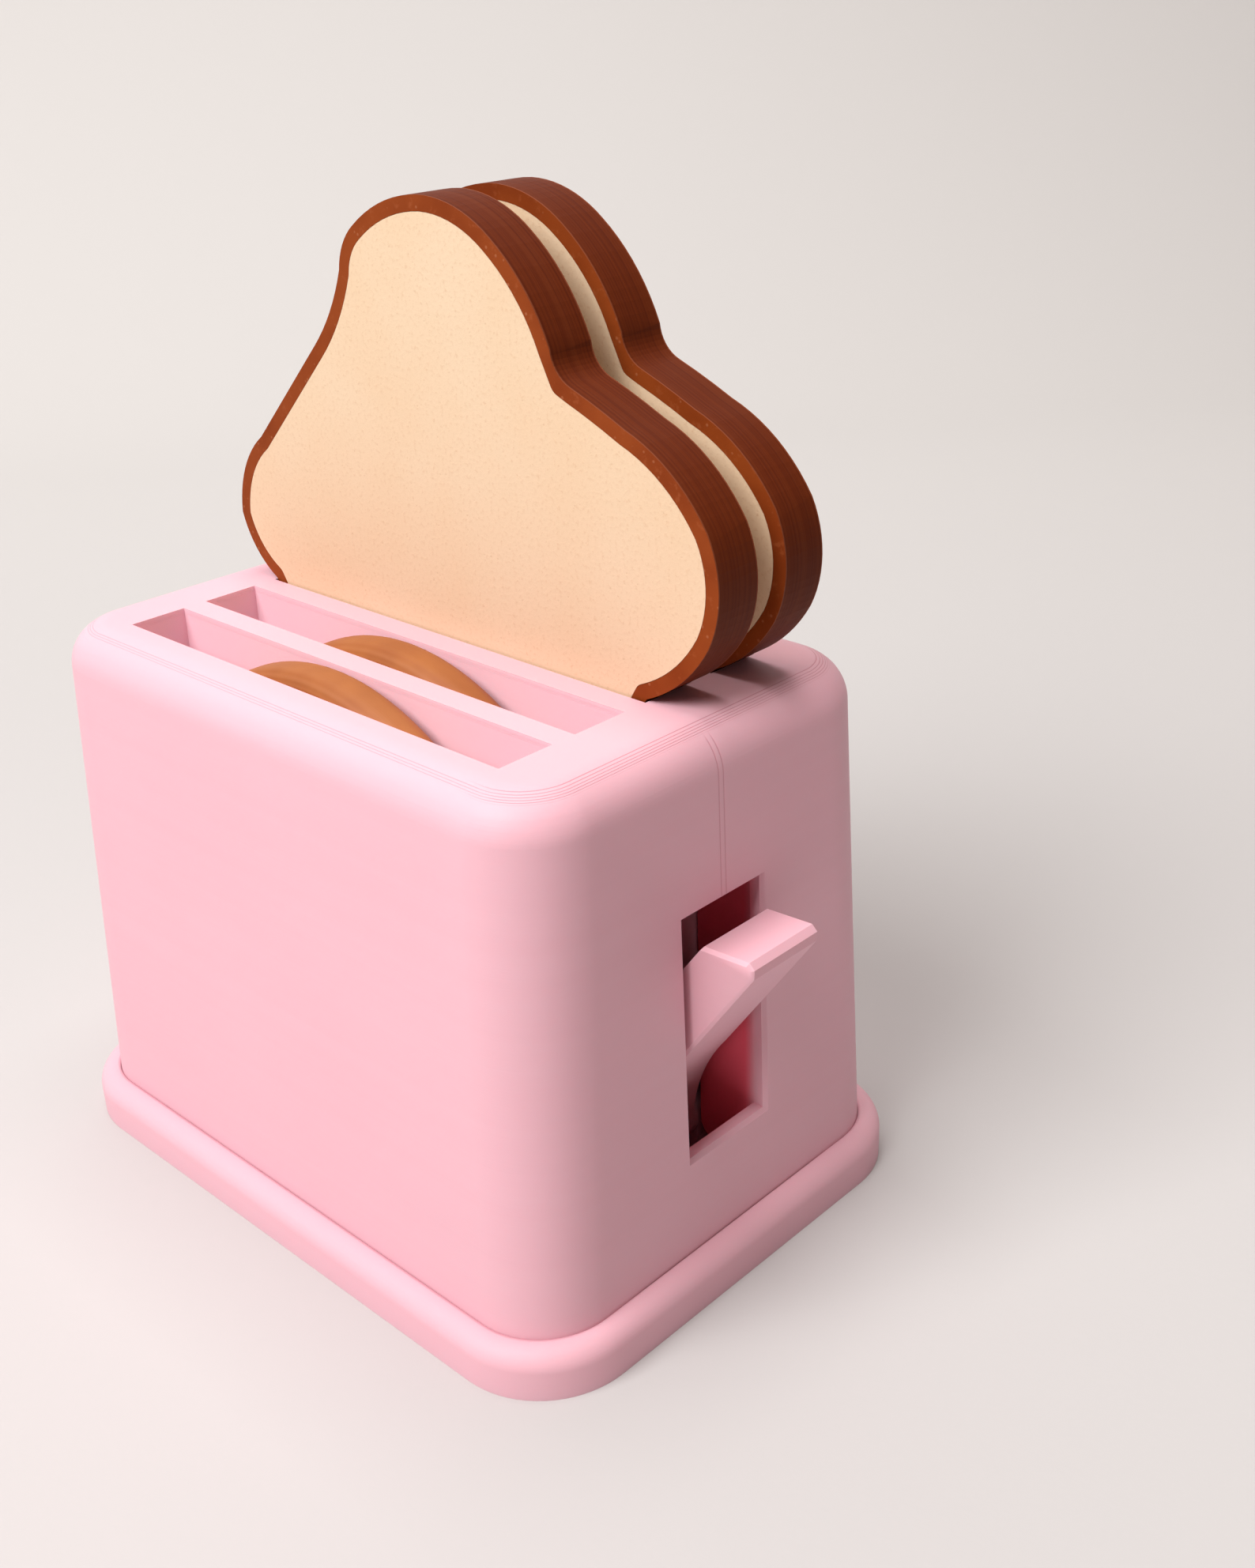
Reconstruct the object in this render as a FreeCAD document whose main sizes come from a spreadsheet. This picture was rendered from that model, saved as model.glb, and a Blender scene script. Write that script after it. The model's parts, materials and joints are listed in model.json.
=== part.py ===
import FreeCAD, Part
import math
import os
import re

import Sketcher

# Toy toaster with four bread slots, two toast slices, two round waffles and a press-down lever.
# The origin is at the middle of the base on the ground, +X towards the lever, +Z up, millimetres.

SIZES = {
    # outer shell
    "height": 89.6,
    "top_width": 72.3,
    "end_draft": 0.96,
    "side_draft": 2.8,
    "corner_radius": 12.3,
    "top_edge_radius": 6.8,
    "wall": 2.4,
    # slots in the top and the block they pass through
    "slot_length": 85.0,
    "end_land": 13.75,
    "slot_width": 9.66,
    "bar_width": 4.21,
    "slots_shift": 1.84,
    "block_depth": 12.0,
    "block_rim": 1.4,
    "rack_bottom": 45.0,
    "flange_width": 5.6,
    "flange_thickness": 2.4,
    "rack_screw_spread": 40.0,
    # base
    "skirt_outset": 3.4,
    "skirt_height": 7.8,
    "skirt_edge_radius": 3.1,
    "floor_thickness": 2.4,
    "seat_level": 4.0,
    "seat_clearance": 0.12,
    "floor_corner_radius": 27.0,
    # base screws
    "screw_inset": 7.0,
    "boss_radius": 3.5,
    "boss_height": 16.0,
    "screw_shank": 3.0,
    "screw_head": 5.6,
    "screw_head_height": 1.5,
    "screw_length": 10.0,
    "recess_depth": 1.9,
    # small screws of the rack and the bracket
    "small_shank": 2.4,
    "small_head": 4.6,
    "small_head_height": 1.3,
    "small_screw_length": 8.0,
    "screw_clearance": 0.1,
    # lever slot in the end wall
    "lever_slot_width": 16.8,
    "lever_slot_bottom": 24.0,
    "lever_slot_top": 63.9,
    "lever_slot_edge": 0.6,
    "cheek_thickness": 1.4,
    "cheek_bottom": 12.7,
    "cheek_radius": 3.6,
    "cheek_rise": 2.0,
    "cheek_gap": 0.3,
    # pivot
    "pivot_setback": 4.5,
    "pivot_z": 16.0,
    "pin_diameter": 3.0,
    "pin_clearance": 0.1,
    "pin_head": 5.6,
    "pin_head_height": 1.2,
    "pin_tail": 2.4,
    "clip_thickness": 0.8,
    "clip_radius": 2.9,
    "groove_depth": 0.4,
    "lug_thickness": 3.0,
    "lug_radius": 4.0,
    "bracket_plate": 2.4,
    "bracket_boss_radius": 3.0,
    "bracket_boss_height": 6.6,
    # lever
    "lever_width": 14.6,
    "lever_reach": 28.4,
    "lever_rise": 44.6,
    "hub_radius": 4.5,
    "hub_side_gap": 0.3,
    "underside_radius": 32.0,
    "lever_edge": 0.5,
    "arm_width": 5.0,
    "nose_radius": 1.9,
    "nose_x": 1.66,
    "nose_gap": 0.3,
    # lift tray
    "tray_thickness": 2.0,
    "tray_left_inset": 2.5,
    "tray_hub_gap": 5.0,
    "tray_margin": 0.6,
    "tray_corner": 5.0,
    "notch_start": 4.3,
    "notch_gap": 0.65,
    "sleeve_radius": 3.5,
    "sleeve_height": 6.0,
    "post_diameter": 4.0,
    "post_clearance": 0.1,
    "post_fit": 0.02,
    "post_socket": 3.8,
    "post_boss_radius": 4.0,
    "post_boss_height": 3.0,
    "post_left_inset": 10.5,
    "post_right_inset": 13.5,
    "post_top_gap": 0.3,
    # risers that carry the tall slices
    "riser_thickness": 5.0,
    "riser_left_inset": 14.5,
    "riser_right_inset": 20.5,
    "riser_groove": 0.9,
    "riser_gap": 0.1,
    # food
    "slice_thickness": 8.0,
    "slice_setback": 0.4,
    "slice_end_gap": 1.0,
    "crust_width": 2.2,
    "crumb_gap": 0.05,
    "waffle_end_gap": 1.7,
    "waffle_thickness": 7.5,
    "waffle_edge": 3.0,
    "waffle_gap": 0.3,
}

# Lengths that follow from the sizes above.
DERIVED = {
    "top_length": "slot_length + 2 * end_land",
    "pitch": "slot_width + bar_width",
    "slots_front": "0 - slots_shift - 2 * slot_width - 1.5 * bar_width",
    "slots_back": "0 - slots_shift + 2 * slot_width + 1.5 * bar_width",
    "block_level": "height - block_depth",
    "block_front": "slots_front - block_rim",
    "block_back": "slots_back + block_rim",
    "rack_end": "slot_length / 2 + block_rim",
    "block_end": "rack_end + flange_width",
    "pivot_x": "rack_end - pivot_setback",
    "seat_length": "top_length / 2 + (height - seat_level) * tan(end_draft)",
    "seat_width": "top_width / 2 + (height - seat_level) * tan(side_draft)",
    "ground_length": "top_length / 2 + height * tan(end_draft)",
    "ground_width": "top_width / 2 + height * tan(side_draft)",
    "screw_x": "seat_length - screw_inset",
    "screw_y": "seat_width - screw_inset",
    "lug_inner": "lever_slot_width / 2",
    "lug_outer": "lug_inner + lug_thickness",
    "hub_half": "lug_inner - hub_side_gap",
    "bracket_screw_y": "lug_outer + bracket_boss_radius",
    "nose_z": "floor_thickness + 0.4 + nose_radius",
    "nose_top": "nose_z + nose_radius",
    "tray_under": "nose_top + nose_gap",
    "tray_top": "tray_under + tray_thickness",
    "middle_bar": "0 - slots_shift",
    "tray_left": "slot_length / 2 - tray_left_inset",
    "tray_right": "pivot_x - tray_hub_gap",
    "post_left": "slot_length / 2 - post_left_inset",
    "post_right": "slot_length / 2 - post_right_inset",
    "riser_left": "slot_length / 2 - riser_left_inset",
    "riser_right": "slot_length / 2 - riser_right_inset",
    "slice_body": "slot_length - 2 * slice_end_gap",
    "waffle_radius": "slot_length / 2 - waffle_end_gap",
    "riser_top": "rack_bottom - riser_gap",
    "waffle_z": "tray_top + waffle_gap + waffle_radius",
    "post_top": "rack_bottom - post_top_gap",
    "post_boss_top": "floor_thickness + post_boss_height",
    "post_foot": "post_boss_top - post_socket",
}


def named(text):
    """Turn the plain names in an expression into references to the spreadsheet's cells."""
    text = str(text)
    pattern = re.compile(r"[a-z][a-z_]*[a-z]")
    while any(word in DERIVED for word in pattern.findall(text)):
        text = pattern.sub(lambda m: "(" + DERIVED[m[0]] + ")" if m[0] in DERIVED else m[0], text)
    return pattern.sub(lambda m: "Sizes." + m[0] if m[0] in SIZES else m[0], text)


def value(text):
    """Give an expression's number."""
    return float(sheet.evalExpression(named(text).replace("Sizes.", "")))


def bind(item, prop, text):
    item.setExpression(prop, named(text))


doc = FreeCAD.newDocument("toy_toaster")
sheet = doc.addObject("Spreadsheet::Sheet", "Sizes")
for row, (alias, number) in enumerate(SIZES.items(), start=1):
    sheet.set("A%d" % row, alias)
    sheet.set("B%d" % row, str(number))
    sheet.setAlias("B%d" % row, alias)
doc.recompute()


# Sketches and features


def new_body(name):
    body = doc.addObject("PartDesign::Body", name)
    body.Label = name
    return body


def new_sketch(body, name, plane, level="0"):
    """A sketch parallel to one of the body's origin planes: XY level is z, XZ level is y, YZ level is x."""
    sketch = body.newObject("Sketcher::SketchObject", body.Name + "_" + name)
    base = [item for item in body.Origin.OriginFeatures if item.Role == plane + "_Plane"][0]
    sketch.AttachmentSupport = [(base, "")]
    sketch.MapMode = "FlatFace"
    along = "0 - (" + level + ")" if plane == "XZ" else level
    bind(sketch, "AttachmentOffset.Base.z", along)
    return sketch


def place_point(sketch, geometry, end, across, up):
    """Tie one end of a line or arc, or a circle's centre, to the sketch's origin."""
    for kind, text in (("DistanceX", across), ("DistanceY", up)):
        index = sketch.addConstraint(Sketcher.Constraint(kind, -1, 1, geometry, end, value(text)))
        bind(sketch, "Constraints[%d]" % index, text)


def add_outline(sketch, corners):
    """A closed outline: a corner is (x, y) for a straight run to the next or (x, y, radius, side)
    for an arc to the next, whose centre lies left of the run when side is 1 and right when it is -1."""
    points = [FreeCAD.Vector(value(corner[0]), value(corner[1]), 0) for corner in corners]
    starts, ends, pieces = [], [], []
    for index, corner in enumerate(corners):
        here, there = points[index], points[(index + 1) % len(points)]
        if len(corner) == 2:
            pieces.append(sketch.addGeometry(Part.LineSegment(here, there)))
            starts.append(1)
            ends.append(2)
            continue
        radius, side = value(corner[2]), corner[3]
        run = there - here
        rise = math.sqrt(max(radius ** 2 - (run.Length / 2) ** 2, 0))
        left = FreeCAD.Vector(-run.y, run.x, 0).normalize()
        centre = (here + there) * 0.5 + left * (side * rise)
        first, last = (here, there) if side > 0 else (there, here)
        angles = [math.atan2(point.y - centre.y, point.x - centre.x) for point in (first, last)]
        circle = Part.Circle(centre, FreeCAD.Vector(0, 0, 1), radius)
        piece = sketch.addGeometry(Part.ArcOfCircle(circle, angles[0], angles[1]))
        pieces.append(piece)
        starts.append(1 if side > 0 else 2)
        ends.append(2 if side > 0 else 1)
    for index, piece in enumerate(pieces):
        after = (index + 1) % len(pieces)
        sketch.addConstraint(Sketcher.Constraint("Coincident", piece, ends[index], pieces[after], starts[after]))
    for index, corner in enumerate(corners):
        place_point(sketch, pieces[index], starts[index], corner[0], corner[1])
        if len(corner) > 2:
            radius = sketch.addConstraint(Sketcher.Constraint("Radius", pieces[index], value(corner[2])))
            bind(sketch, "Constraints[%d]" % radius, corner[2])


def add_box(sketch, left, right, low, high):
    add_outline(sketch, [(left, low), (right, low), (right, high), (left, high)])


def add_rounded_box(sketch, half_x, half_y, radius):
    """A rounded rectangle about the sketch's origin."""
    x, y, r = "(" + half_x + ")", "(" + half_y + ")", "(" + radius + ")"
    corners = []
    for along_x, along_y in ((1, -1), (1, 1), (-1, 1), (-1, -1)):
        flat_x = "%d * (%s - %s)" % (along_x, x, r)
        flat_y = "%d * (%s - %s)" % (along_y, y, r)
        wall_x = "%d * %s" % (along_x, x)
        wall_y = "%d * %s" % (along_y, y)
        if along_x * along_y > 0:
            corners += [(wall_x, flat_y, r, 1), (flat_x, wall_y)]
        else:
            corners += [(flat_x, wall_y, r, 1), (wall_x, flat_y)]
    add_outline(sketch, corners)


def add_circle(sketch, across, up, diameter):
    circle = Part.Circle(FreeCAD.Vector(value(across), value(up), 0), FreeCAD.Vector(0, 0, 1),
                         value(diameter) / 2)
    piece = sketch.addGeometry(circle)
    place_point(sketch, piece, 3, across, up)
    index = sketch.addConstraint(Sketcher.Constraint("Diameter", piece, value(diameter)))
    bind(sketch, "Constraints[%d]" % index, diameter)


def pad(body, sketch, length, symmetric=False, reversed_way=False):
    feature = body.newObject("PartDesign::Pad", sketch.Name + "_pad")
    feature.Profile = sketch
    feature.Midplane = symmetric
    feature.Reversed = reversed_way
    bind(feature, "Length", length)
    sketch.Visibility = False
    doc.recompute()
    return feature


def pocket(body, sketch, length=None, symmetric=False, reversed_way=False):
    """Cut a sketch out of the body; without a length the cut goes right through."""
    before = body.Shape.Volume
    feature = body.newObject("PartDesign::Pocket", sketch.Name + "_cut")
    feature.Profile = sketch
    feature.Midplane = symmetric
    feature.Reversed = reversed_way
    if length is None:
        feature.Type = "ThroughAll"
    else:
        bind(feature, "Length", length)
    doc.recompute()
    if body.Shape.Volume > before - 0.01:
        raise ValueError(feature.Name + " cut nothing")
    return feature


def loft(body, first, second, cut=False):
    kind = "PartDesign::SubtractiveLoft" if cut else "PartDesign::AdditiveLoft"
    feature = body.newObject(kind, first.Name + "_loft")
    feature.Profile = first
    feature.Sections = [second]
    doc.recompute()
    return feature


def round_edges(body, name, radius, wanted, kind="PartDesign::Fillet"):
    """Round or bevel those edges of the body that the test picks."""
    base = body.Tip
    edges = ["Edge%d" % (index + 1) for index, edge in enumerate(base.Shape.Edges) if wanted(edge)]
    if not edges:
        raise ValueError(body.Name + "_" + name + " found no edges")
    feature = body.newObject(kind, body.Name + "_" + name)
    feature.Base = (base, edges)
    bind(feature, "Radius" if kind.endswith("Fillet") else "Size", radius)
    doc.recompute()
    return feature


def near(a, b, slack=0.01):
    return abs(a - b) < slack


def at_level(edge, level):
    """Whether an edge lies at one height."""
    box = edge.BoundBox
    return near(box.ZMin, level) and near(box.ZMax, level)


def shell_outline(sketch, level, inset="0", radius="corner_radius"):
    """The shell's rounded rectangle at a height; both pairs of walls lean inwards as they rise."""
    drop = "(height - (" + level + "))"
    half_x = "top_length / 2 + " + drop + " * tan(end_draft) - (" + inset + ")"
    half_y = "top_width / 2 + " + drop + " * tan(side_draft) - (" + inset + ")"
    add_rounded_box(sketch, half_x, half_y, radius + " - (" + inset + ")")


# Housing: one moulded shell with the slots, the lever slot, its cheeks and the screw bosses


def slot_fronts():
    return ["slots_front + %d * (pitch)" % index for index in range(4)]


def add_slots(sketch):
    for front in slot_fronts():
        add_box(sketch, "0 - slot_length / 2", "slot_length / 2", front, front + " + slot_width")


def rack_screw_places():
    places = []
    for along_x in (-1, 1):
        for along_y in (-1, 1):
            across = "%d * (rack_end + flange_width / 2)" % along_x
            places.append((across, "middle_bar + %d * rack_screw_spread / 2" % along_y))
    return places


def base_screw_places():
    places = []
    for along_x in (-1, 1):
        for along_y in (-1, 1):
            places.append(("%d * (screw_x)" % along_x, "%d * (screw_y)" % along_y))
    return places


def faces_facing(shape, axis):
    """The names of the faces that look along plus or minus an axis, give or take a few degrees."""
    names = []
    for index, face in enumerate(shape.Faces):
        first, last, low, high = face.ParameterRange
        normal = face.normalAt((first + last) / 2, (low + high) / 2)
        if abs(normal.dot(axis)) > 0.99:
            names.append("Face%d" % (index + 1))
    return names


def face_at_level(shape, level):
    """The name of the flat face at a height."""
    return ["Face%d" % (index + 1) for index, face in enumerate(shape.Faces) if at_level(face, level)][0]


def lean(body, name, axis, angle, level):
    """Lean a pair of walls inwards as they rise, keeping their size at one height."""
    before = body.Tip
    feature = body.newObject("PartDesign::Draft", body.Name + "_" + name)
    feature.Base = (before, faces_facing(before.Shape, axis))
    feature.NeutralPlane = (before, [face_at_level(before.Shape, value(level))])
    bind(feature, "Angle", angle)
    doc.recompute()
    return feature


housing = new_body("housing")
shell = new_sketch(housing, "shell", "XY", "seat_level")
add_box(shell, "0 - top_length / 2", "top_length / 2", "0 - top_width / 2", "top_width / 2")
pad(housing, shell, "height - seat_level")
lean(housing, "end_lean", FreeCAD.Vector(1, 0, 0), "end_draft", "height")
lean(housing, "side_lean", FreeCAD.Vector(0, 1, 0), "side_draft", "height")
round_edges(housing, "corner", "corner_radius", lambda edge: edge.BoundBox.ZLength > 10)
round_edges(housing, "top_edge", "top_edge_radius", lambda edge: at_level(edge, value("height")))
rounded = housing.Tip
hollowing = housing.newObject("PartDesign::Thickness", "housing_hollow")
hollowing.Base = (rounded, [face_at_level(rounded.Shape, value("seat_level"))])
bind(hollowing, "Value", "wall")
hollowing.Reversed = True
doc.recompute()

block = new_sketch(housing, "block", "XY", "block_level")
add_box(block, "0 - block_end", "block_end", "block_front", "block_back")
pad(housing, block, "block_depth - wall / 2")

for side in (-1, 1):
    cheek = new_sketch(housing, "cheek_%d" % (side + 1), "XZ", "%d * lug_inner" % side)
    cheek_start = "rack_end + cheek_gap"
    wall_middle = "top_length / 2 - wall / 2 + (height - (%s)) * tan(end_draft)"
    cheek_top = "lever_slot_top + cheek_rise"
    add_outline(cheek, [
        (cheek_start + " + cheek_radius", "cheek_bottom"),
        (wall_middle % "cheek_bottom", "cheek_bottom"),
        (wall_middle % cheek_top, cheek_top),
        (cheek_start, cheek_top),
        (cheek_start, "cheek_bottom + cheek_radius", "cheek_radius", 1),
    ])
    pad(housing, cheek, "cheek_thickness", reversed_way=side > 0)

bosses = new_sketch(housing, "bosses", "XY", "seat_level")
for across, up in base_screw_places():
    add_circle(bosses, across, up, "2 * boss_radius")
pad(housing, bosses, "boss_height")

slots = new_sketch(housing, "slots", "XY", "height")
add_slots(slots)
pocket(housing, slots)

lever_slot = new_sketch(housing, "lever_slot", "YZ", "top_length / 2 - 2 * wall")
add_box(lever_slot, "0 - lug_inner", "lug_inner", "lever_slot_bottom", "lever_slot_top")
pocket(housing, lever_slot, reversed_way=True)


def at_slot_mouth(edge):
    """Whether an edge is one of the four of the lever slot on the outer face of the end wall."""
    for vertex in edge.Vertexes:
        point = vertex.Point
        outer = value("top_length") / 2 + (value("height") - point.z) * math.tan(math.radians(value("end_draft")))
        on_side = near(abs(point.y), value("lug_inner"))
        if not on_side or not near(point.x, outer, 0.02):
            return False
    box = edge.BoundBox
    return box.ZMin > value("lever_slot_bottom") - 0.1 and box.ZMax < value("lever_slot_top") + 0.1


round_edges(housing, "slot_bevel", "lever_slot_edge", at_slot_mouth, "PartDesign::Chamfer")

base_pilots = new_sketch(housing, "base_pilots", "XY", "seat_level")
for across, up in base_screw_places():
    add_circle(base_pilots, across, up, "screw_shank")
pocket(housing, base_pilots, "screw_length", reversed_way=True)

rack_pilots = new_sketch(housing, "rack_pilots", "XY", "block_level")
for across, up in rack_screw_places():
    add_circle(rack_pilots, across, up, "small_shank")
pocket(housing, rack_pilots, "small_screw_length", reversed_way=True)


# Slot rack: the deep guides of the four slots, screwed under the housing's top block

slot_rack = new_body("slot_rack")
rack_block = new_sketch(slot_rack, "block", "XY", "rack_bottom")
add_box(rack_block, "0 - rack_end", "rack_end", "block_front", "block_back")
pad(slot_rack, rack_block, "block_level - rack_bottom")
rack_flange = new_sketch(slot_rack, "flange", "XY", "block_level - flange_thickness")
add_box(rack_flange, "0 - block_end", "block_end", "block_front", "block_back")
pad(slot_rack, rack_flange, "flange_thickness")
rack_slots = new_sketch(slot_rack, "slots", "XY", "block_level")
add_slots(rack_slots)
pocket(slot_rack, rack_slots)
rack_holes = new_sketch(slot_rack, "holes", "XY", "block_level")
for across, up in rack_screw_places():
    add_circle(rack_holes, across, up, "small_shank + 2 * screw_clearance")
pocket(slot_rack, rack_holes)


# Base: skirt, floor and the bosses of the guide posts


def post_places():
    half_pitch = "(pitch)"
    return [
        ("0 - post_left", "middle_bar"),
        ("post_right", "middle_bar - " + half_pitch),
        ("post_right", "middle_bar + " + half_pitch),
    ]


def bracket_screw_places():
    return [("pivot_x", "0 - bracket_screw_y"), ("pivot_x", "bracket_screw_y")]


base = new_body("base")
skirt = new_sketch(base, "skirt", "XY")
add_rounded_box(skirt, "ground_length + skirt_outset", "ground_width + skirt_outset",
                "corner_radius + skirt_outset")
pad(base, skirt, "skirt_height")
round_edges(base, "skirt_edge", "skirt_edge_radius", lambda edge: at_level(edge, value("skirt_height")))
seat_low = new_sketch(base, "seat_low", "XY", "seat_level")
shell_outline(seat_low, "seat_level", "0 - seat_clearance")
seat_high = new_sketch(base, "seat_high", "XY", "skirt_height")
shell_outline(seat_high, "skirt_height", "0 - seat_clearance")
loft(base, seat_low, seat_high, cut=True)
hollow = new_sketch(base, "hollow", "XY", "seat_level")
add_rounded_box(hollow, "seat_length - wall", "seat_width - wall", "floor_corner_radius")
pocket(base, hollow, "seat_level - floor_thickness")
post_bosses = new_sketch(base, "post_bosses", "XY", "floor_thickness")
for across, up in post_places():
    add_circle(post_bosses, across, up, "2 * post_boss_radius")
pad(base, post_bosses, "post_boss_height")
post_sockets = new_sketch(base, "post_sockets", "XY", "post_boss_top")
for across, up in post_places():
    add_circle(post_sockets, across, up, "post_diameter + 2 * post_fit")
pocket(base, post_sockets, "post_socket")
screw_holes = new_sketch(base, "screw_holes", "XY")
for across, up in base_screw_places():
    add_circle(screw_holes, across, up, "screw_shank + 2 * screw_clearance")
for across, up in bracket_screw_places():
    add_circle(screw_holes, across, up, "small_shank + 2 * screw_clearance")
pocket(base, screw_holes, reversed_way=True)
head_recesses = new_sketch(base, "head_recesses", "XY")
for across, up in base_screw_places():
    add_circle(head_recesses, across, up, "screw_head + 4 * screw_clearance")
pocket(base, head_recesses, "recess_depth", reversed_way=True)
small_recesses = new_sketch(base, "small_recesses", "XY")
for across, up in bracket_screw_places():
    add_circle(small_recesses, across, up, "small_head + 4 * screw_clearance")
pocket(base, small_recesses, "small_head_height", reversed_way=True)


# Pivot bracket: plate, two lugs and two screw bosses on the floor inside the end wall

bracket = new_body("pivot_bracket")
plate = new_sketch(bracket, "plate", "XY", "floor_thickness")
add_box(plate, "pivot_x - lug_radius", "pivot_x + lug_radius",
        "0 - bracket_screw_y - bracket_boss_radius", "bracket_screw_y + bracket_boss_radius")
pad(bracket, plate, "bracket_plate")
for side in (-1, 1):
    lug = new_sketch(bracket, "lug_%d" % (side + 1), "XZ", "%d * lug_inner" % side)
    add_outline(lug, [
        ("pivot_x - lug_radius", "floor_thickness"),
        ("pivot_x + lug_radius", "floor_thickness"),
        ("pivot_x + lug_radius", "pivot_z", "lug_radius", 1),
        ("pivot_x", "pivot_z + lug_radius", "lug_radius", 1),
        ("pivot_x - lug_radius", "pivot_z"),
    ])
    pad(bracket, lug, "lug_thickness", reversed_way=side > 0)
bracket_bosses = new_sketch(bracket, "bosses", "XY", "floor_thickness")
for across, up in bracket_screw_places():
    add_circle(bracket_bosses, across, up, "2 * bracket_boss_radius")
pad(bracket, bracket_bosses, "bracket_boss_height")
pin_holes = new_sketch(bracket, "pin_holes", "XZ")
add_circle(pin_holes, "pivot_x", "pivot_z", "pin_diameter + 2 * post_fit")
pocket(bracket, pin_holes, "2 * (lug_outer) + 2", symmetric=True)
bracket_pilots = new_sketch(bracket, "pilots", "XY", "floor_thickness")
for across, up in bracket_screw_places():
    add_circle(bracket_pilots, across, up, "small_shank")
pocket(bracket, bracket_pilots, "bracket_boss_height - 0.6", reversed_way=True)


# Lever: paddle outside the wall, curved arm, hub on the pin and the inner arm with its nose


def on_lever(across, up):
    """A point of the paddle's profile, as shares of the lever's reach and rise from the pivot."""
    return ("pivot_x + %g * lever_reach" % across, "pivot_z + %g * lever_rise" % up)


lever = new_body("lever")
paddle = new_sketch(lever, "paddle", "XZ")
add_outline(paddle, [
    on_lever(0.6866, 0.9888),
    on_lever(0.1444, 0.5224),
    ("pivot_x - hub_radius", "pivot_z"),
    ("pivot_x + hub_radius", "pivot_z", "underside_radius", -1),
    on_lever(0.4049, 0.4126),
    on_lever(0.9965, 0.9462),
    on_lever(1, 0.9798),
    on_lever(0.9683, 1),
])
pad(lever, paddle, "lever_width", symmetric=True)


def at_paddle_side(edge):
    """Whether an edge runs round the paddle's part that stands outside the wall."""
    box = edge.BoundBox
    on_side = near(abs(box.YMin), value("lever_width") / 2) and near(box.YMin, box.YMax)
    return on_side and box.XMax > value("ground_length") + 2


round_edges(lever, "paddle_edge", "lever_edge", at_paddle_side, "PartDesign::Chamfer")
hub = new_sketch(lever, "hub", "XZ")
add_circle(hub, "pivot_x", "pivot_z", "2 * hub_radius")
pad(lever, hub, "2 * (hub_half)", symmetric=True)
inner_arm = new_sketch(lever, "inner_arm", "XZ", "middle_bar")
add_outline(inner_arm, [
    ("nose_x", "nose_z - nose_radius"),
    ("pivot_x + 1", "pivot_z - hub_radius + 0.4"),
    ("pivot_x", "pivot_z + hub_radius - 0.3"),
    ("notch_start + 0.7", "nose_top"),
    ("nose_x", "nose_top", "nose_radius", 1),
    ("nose_x - nose_radius", "nose_z", "nose_radius", 1),
])
pad(lever, inner_arm, "arm_width", symmetric=True)
bore = new_sketch(lever, "bore", "XZ")
add_circle(bore, "pivot_x", "pivot_z", "pin_diameter + 2 * pin_clearance")
pocket(lever, bore, "2 * (hub_half) + 2", symmetric=True)


# Pivot pin with its head at the front lug and a clip in the groove behind the rear lug

pin = new_body("pivot_pin")
shank = new_sketch(pin, "shank", "XZ", "0 - lug_outer")
add_circle(shank, "pivot_x", "pivot_z", "pin_diameter")
pad(pin, shank, "2 * (lug_outer) + pin_tail", reversed_way=True)
pin_head = new_sketch(pin, "head", "XZ", "0 - lug_outer")
add_circle(pin_head, "pivot_x", "pivot_z", "pin_head")
pad(pin, pin_head, "pin_head_height")
groove = new_sketch(pin, "groove", "XZ", "lug_outer + 0.2")
add_circle(groove, "pivot_x", "pivot_z", "pin_diameter + 2")
add_circle(groove, "pivot_x", "pivot_z", "pin_diameter - 2 * groove_depth")
pocket(pin, groove, "clip_thickness + 0.1", reversed_way=False)

clip = new_body("pin_clip")
clip_ring = new_sketch(clip, "ring", "XZ", "lug_outer + 0.2")
add_circle(clip_ring, "pivot_x", "pivot_z", "2 * clip_radius")
add_circle(clip_ring, "pivot_x", "pivot_z", "pin_diameter - 2 * groove_depth + 0.1")
pad(clip, clip_ring, "clip_thickness", reversed_way=True)
clip_mouth = new_sketch(clip, "mouth", "XZ")
add_box(clip_mouth, "pivot_x - 0.8", "pivot_x + 0.8", "pivot_z - clip_radius - 1", "pivot_z")
pocket(clip, clip_mouth, "2 * (lug_outer) + 6", symmetric=True)


# Lift tray: the bed that the lever's nose raises, running on three posts


tray = new_body("lift_tray")
bed = new_sketch(tray, "bed", "XY", "tray_under")
notch_front = "middle_bar - arm_width / 2 - notch_gap"
notch_back = "middle_bar + arm_width / 2 + notch_gap"
tray_front = "slots_front + tray_margin"
tray_back = "slots_back - tray_margin"
add_outline(bed, [
    ("0 - tray_left + tray_corner", tray_front),
    ("tray_right", tray_front),
    ("tray_right", notch_front),
    ("notch_start", notch_front),
    ("notch_start", notch_back),
    ("tray_right", notch_back),
    ("tray_right", tray_back),
    ("0 - tray_left + tray_corner", tray_back, "tray_corner", 1),
    ("0 - tray_left", tray_back + " - tray_corner"),
    ("0 - tray_left", tray_front + " + tray_corner", "tray_corner", 1),
])
pad(tray, bed, "tray_thickness")
sleeves = new_sketch(tray, "sleeves", "XY", "tray_under")
for across, up in post_places():
    add_circle(sleeves, across, up, "2 * sleeve_radius")
pad(tray, sleeves, "tray_thickness + sleeve_height")
sleeve_bores = new_sketch(tray, "sleeve_bores", "XY", "tray_top + sleeve_height")
for across, up in post_places():
    add_circle(sleeve_bores, across, up, "post_diameter + 2 * post_clearance")
pocket(tray, sleeve_bores)


def slot_middle(index):
    """The y of one slot's centre line, counted from the front."""
    return slot_fronts()[index] + " + slot_width / 2"


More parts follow.
